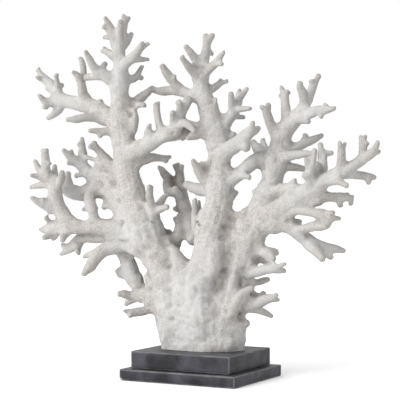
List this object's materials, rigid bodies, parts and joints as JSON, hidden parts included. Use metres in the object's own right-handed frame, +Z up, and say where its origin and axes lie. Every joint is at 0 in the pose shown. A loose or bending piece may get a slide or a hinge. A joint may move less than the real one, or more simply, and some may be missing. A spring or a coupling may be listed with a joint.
{
  "type": "branching coral on a stand",
  "caption": "Faux branching coral with a broad trunk and forked, knobbly limbs, fixed upright on a dark two-tier rectangular stand.",
  "frame": {"origin": "middle of the stand's flat underside", "axes": "+Z up; X along the stand's long side and the coral's fan, the stand's front faces -Y"},
  "size_m": [0.3898, 0.1464, 0.3673],
  "materials": {
    "coral": "matte off-white cast resin with a fine granular surface and warm grey in its recesses",
    "stand": "charcoal black satin cast resin with slightly worn, lighter edges"
  },
  "bodies": {
    "root": {"back_left_limb": "coral", "back_low_limb": "coral", "back_right_limb": "coral", "centre_crown": "coral", "centre_left_limb": "coral", "centre_limb": "coral", "centre_right_lower_limb": "coral", "centre_right_middle_limb": "coral", "centre_right_upper_limb": "coral", "coral_trunk": "coral", "far_left_limb": "coral", "far_right_limb": "coral", "far_right_low_limb": "coral", "left_mid_limb": "coral", "low_left_fork_limb": "coral", "low_left_lower_limb": "coral", "low_right_lower_limb": "coral", "low_right_middle_limb": "coral", "low_right_small_limb": "coral", "low_right_upper_limb": "coral", "lower_left_limb": "coral", "mast": "coral", "mast_crown": "coral", "mast_left_twigs": "coral", "mast_right_limb": "coral", "rear_limb": "coral", "right_crown": "coral", "right_limb": "coral", "stand_lower_tier": "stand", "stand_upper_tier": "stand", "upper_left_limb": "coral"}
  },
  "joints": []
}
